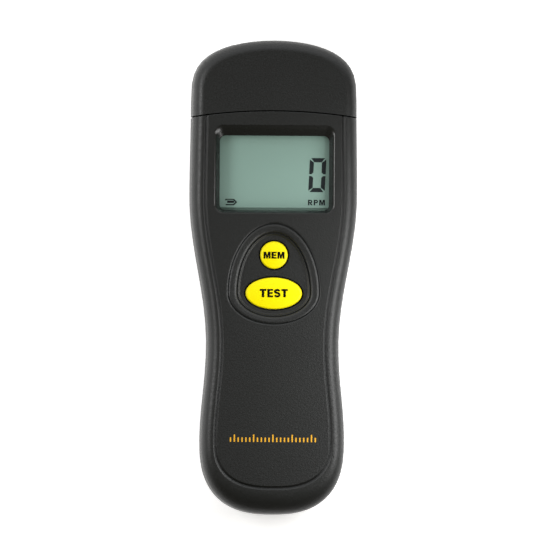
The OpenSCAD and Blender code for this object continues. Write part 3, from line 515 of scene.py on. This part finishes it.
def glyph(letter):
    """Bold letter of height 1 as its width and its loops, the outline first."""
    if letter == "T":
        return 0.80, [[(0, 0.77), (0, 1), (0.8, 1), (0.8, 0.77), (0.55, 0.77), (0.55, 0), (0.25, 0),
                       (0.25, 0.77)]]
    if letter == "E":
        return 0.70, [[(0, 0), (0, 1), (0.7, 1), (0.7, 0.79), (0.29, 0.79), (0.29, 0.61), (0.66, 0.61),
                       (0.66, 0.40), (0.29, 0.40), (0.29, 0.21), (0.7, 0.21), (0.7, 0)]]
    if letter == "M":
        return 0.96, [[(0, 0), (0, 1), (0.34, 1), (0.48, 0.44), (0.62, 1), (0.96, 1), (0.96, 0), (0.72, 0),
                       (0.72, 0.64), (0.575, 0), (0.385, 0), (0.24, 0.64), (0.24, 0)]]
    if letter == "S":
        line = arc(0.38, 0.70, 0.265, 0.185, 12, 270, 18) + arc(0.38, 0.305, 0.275, 0.21, 90, -168, 18)[1:]
        return 0.76, [stroke(line, 0.25)]
    bowl = arc(0.42, 0.69, 0.29, 0.31, 90, -90, 12)
    hole = [(0.24, 0.80)] + arc(0.40, 0.69, 0.10, 0.11, 90, -90, 8) + [(0.24, 0.58)]
    if letter == "P":
        return 0.72, [[(0, 0), (0, 1)] + bowl + [(0.24, 0.38), (0.24, 0)], hole]
    bowl = [p for p in bowl if p[1] > 0.43]
    return 0.76, [[(0, 0), (0, 1)] + bowl + [(0.55, 0.40), (0.76, 0), (0.48, 0), (0.31, 0.38),
                                              (0.24, 0.38), (0.24, 0)], hole]


def word(letters, cx, cy, w, h, space=0.13):
    """Loops of a word fitted to a width and a height about a middle."""
    shapes, x = [], 0.0
    for letter in letters:
        advance, loops = glyph(letter)
        shapes.append([[(x + px, py) for px, py in loop] for loop in loops])
        x += advance + space
    total = x - space
    return [[[(cx + (px / total - 0.5) * w, cy + (py - 0.5) * h) for px, py in loop] for loop in loops]
            for loops in shapes]


def crown(rx, ry, cy):
    def z_at(x, y):
        inset = KEY_SLACK + KEY_ROUND
        t = math.hypot(x / (rx - inset), (y - cy) / (ry - inset))
        return KEY_TOP - KEY_CROWN * t * t
    return z_at


flat_piece("mem_legend", word("MEM", 0, MEM_Y - 0.05, 8.0, 2.6), print_mat, "mem_key_body",
           crown(MEM_R, MEM_R, MEM_Y), thick=0.08)
flat_piece("test_legend", word("TEST", 0, TEST_Y + 0.1, 10.8, 3.15), print_mat, "test_key_body",
           crown(TEST_RX, TEST_RY, TEST_Y), thick=0.08)

# Display: one seven-segment digit, its unit and a battery sign
LEAN, LCD_LIFT, SEGMENT_CUT = 0.045, 0.02, 0.35
PIXEL, MID_COLUMN, MID_ROW = 0.3872, 274.4, 276.9


def on_lcd(px, py):
    """Place on the display of a pixel of the photograph's frame, in millimetres."""
    return ((px - MID_COLUMN) * PIXEL, (MID_ROW - py) * PIXEL)


def digit(cx, cy, w, h, t, gap):
    def lean(points):
        return [(cx + x + LEAN * y, cy + y) for x, y in points]
    hw, hh, g = w / 2, h / 2, gap / 2
    bars = []
    for s in (1, -1):
        bars.append(lean([(-hw + g + SEGMENT_CUT, s * hh), (hw - g - SEGMENT_CUT, s * hh),
                          (hw - t, s * (hh - t + g)), (-hw + t, s * (hh - t + g))]))
        for e in (1, -1):
            bars.append(lean([(e * hw, s * (hh - g - SEGMENT_CUT)), (e * hw, s * (g + 0.2)),
                              (e * (hw - t / 2), s * (g + 0.2)), (e * (hw - t + g), s * (t / 2 + g)),
                              (e * (hw - t + g), s * (hh - t))]))
    return [[bar] for bar in bars]


def lcd_z(x, y):
    return LCD_TOP + LCD_LIFT


x0, y0 = on_lcd(308.9, 192.2)
x1, y1 = on_lcd(326.0, 158.4)
flat_piece("lcd_digit", digit((x0 + x1) / 2 - 0.1, (y0 + y1) / 2, x1 - x0 - 0.3, y1 - y0, 1.75, 0.3),
           segment_mat, "case", lcd_z)
ux, uy = on_lcd(316.5, 202.6)
flat_piece("lcd_unit", word("RPM", ux, uy, 6.5, 2.15, 0.2), segment_mat, "case", lcd_z)


def box_poly(ax, ay, bx, by):
    (x0, y0), (x1, y1) = on_lcd(ax, by), on_lcd(bx, ay)
    return [[(x0, y0), (x1, y0), (x1, y1), (x0, y1)]]


flat_piece("lcd_battery_sign", [
    box_poly(226.0, 199.4, 234.6, 200.4), box_poly(226.4, 204.6, 234.6, 205.8),
    [[on_lcd(234.6, 199.4), on_lcd(237.8, 202.6), on_lcd(234.6, 205.8), on_lcd(233.8, 204.6),
      on_lcd(235.9, 202.6), on_lcd(233.8, 200.4)]],
    box_poly(226.0, 200.4, 227.0, 201.1), box_poly(227.8, 201.1, 234.8, 203.4)],
    segment_mat, "case", lcd_z)

# Row of graduations printed on the lower panel
TICK_SPAN, TICK_PITCH, TICK_HALF, TICK_Y, TICK_LONG, TICK_SHORT = 11, 1.48, 0.26, -63.3, 2.8, 1.7
ticks = []
for i in range(-TICK_SPAN, TICK_SPAN + 1):
    left, right = i * TICK_PITCH - TICK_HALF, i * TICK_PITCH + TICK_HALF
    upper = TICK_Y + (TICK_LONG if i % 5 == 0 else TICK_SHORT)
    ticks.append([[(left, TICK_Y), (right, TICK_Y), (right, upper), (left, upper)]])
flat_piece("panel_graduations", ticks, mark_mat, "case", lambda x, y: FRONT_Z, thick=0.015)

# Floor, world and lamps
FLOOR_GLOW = 0.55
bm = bmesh.new()
bmesh.ops.create_grid(bm, x_segments=8, y_segments=8, size=3.0)
floor_mesh = bpy.data.meshes.new("floor")
bm.to_mesh(floor_mesh)
bm.free()
floor = bpy.data.objects.new("floor", floor_mesh)
floor.location.z = -0.0002
bpy.context.scene.collection.objects.link(floor)
floor_mat = bpy.data.materials.new("floor_pale")
floor_mat.use_nodes = True
nt = floor_mat.node_tree
nt.nodes.clear()
out = nt.nodes.new("ShaderNodeOutputMaterial")
diffuse = nt.nodes.new("ShaderNodeBsdfDiffuse")
diffuse.inputs["Color"].default_value = (0.92, 0.92, 0.92, 1)
glow = nt.nodes.new("ShaderNodeEmission")
path = nt.nodes.new("ShaderNodeLightPath")
seen_by = path.outputs["Is Camera Ray"]
for ray in ("Is Glossy Ray", "Is Transmission Ray"):
    either = nt.nodes.new("ShaderNodeMath")
    either.operation = "MAXIMUM"
    nt.links.new(seen_by, either.inputs[0])
    nt.links.new(path.outputs[ray], either.inputs[1])
    seen_by = either.outputs[0]
lift = nt.nodes.new("ShaderNodeMath")
lift.operation = "MULTIPLY"
lift.inputs[1].default_value = FLOOR_GLOW
nt.links.new(seen_by, lift.inputs[0])
nt.links.new(lift.outputs[0], glow.inputs["Strength"])
add = nt.nodes.new("ShaderNodeAddShader")
nt.links.new(diffuse.outputs[0], add.inputs[0])
nt.links.new(glow.outputs[0], add.inputs[1])
nt.links.new(add.outputs[0], out.inputs["Surface"])
floor_mesh.materials.append(floor_mat)

world = bpy.data.worlds.new("studio")
bpy.context.scene.world = world
world.use_nodes = True
wt = world.node_tree
back = wt.nodes["Background"]
place = wt.nodes.new("ShaderNodeTexCoord")
split = wt.nodes.new("ShaderNodeSeparateXYZ")
sky = wt.nodes.new("ShaderNodeMapRange")
sky.interpolation_type = "SMOOTHSTEP"
sky.inputs["From Min"].default_value = 0.0
sky.inputs["From Max"].default_value = 0.9
wt.links.new(place.outputs["Generated"], split.inputs[0])
wt.links.new(split.outputs["Y"], sky.inputs["Value"])
tone = wt.nodes.new("ShaderNodeMix")
tone.data_type = "RGBA"
tone.inputs["A"].default_value = (0.125, 0.108, 0.075, 1)
tone.inputs["B"].default_value = (1.55, 1.56, 1.58, 1)
wt.links.new(sky.outputs["Result"], tone.inputs["Factor"])
wt.links.new(tone.outputs["Result"], back.inputs["Color"])


def lamp(name, place, aim, size_x, size_y, watts):
    light = bpy.data.lights.new(name, "AREA")
    light.shape = "RECTANGLE"
    light.size, light.size_y = size_x, size_y
    light.energy = watts
    obj = bpy.data.objects.new(name, light)
    obj.location = place
    obj.rotation_euler = (Vector(aim) - Vector(place)).to_track_quat("-Z", "Y").to_euler()
    obj.visible_camera = False
    bpy.context.scene.collection.objects.link(obj)


lamp("near_right", (0.088, -0.028, 0.100), (0.025, -0.028, 0.034), 0.13, 0.07, 0.19)
lamp("low_left", (-0.33, 0.075, 0.26), (0, 0.075, 0.034), 0.24, 0.12, 1.0)

# Camera
LOOK_X, LOOK_Y, ROLL = 1.4, 0.5, 0.36
FIELD, DISTANCE = 0.2118, 3.5
aim = Vector((0.0007, 0.0009, 0.022))
toward = Vector((-math.tan(math.radians(LOOK_X)), -math.tan(math.radians(LOOK_Y)), 1)).normalized()
camera = bpy.data.cameras.new("camera")
camera.sensor_width = 36.0
camera.lens = 36.0 * DISTANCE / FIELD
eye = bpy.data.objects.new("camera", camera)
across = Vector((0, 1, 0)).cross(toward).normalized()
turn = Matrix((across, toward.cross(across), toward)).transposed().to_4x4()
roll = Matrix.Rotation(math.radians(ROLL), 4, "Z")
eye.matrix_world = Matrix.Translation(aim + toward * DISTANCE) @ turn @ roll
bpy.context.scene.collection.objects.link(eye)
bpy.context.scene.camera = eye
bpy.context.scene.view_settings.view_transform = "Standard"
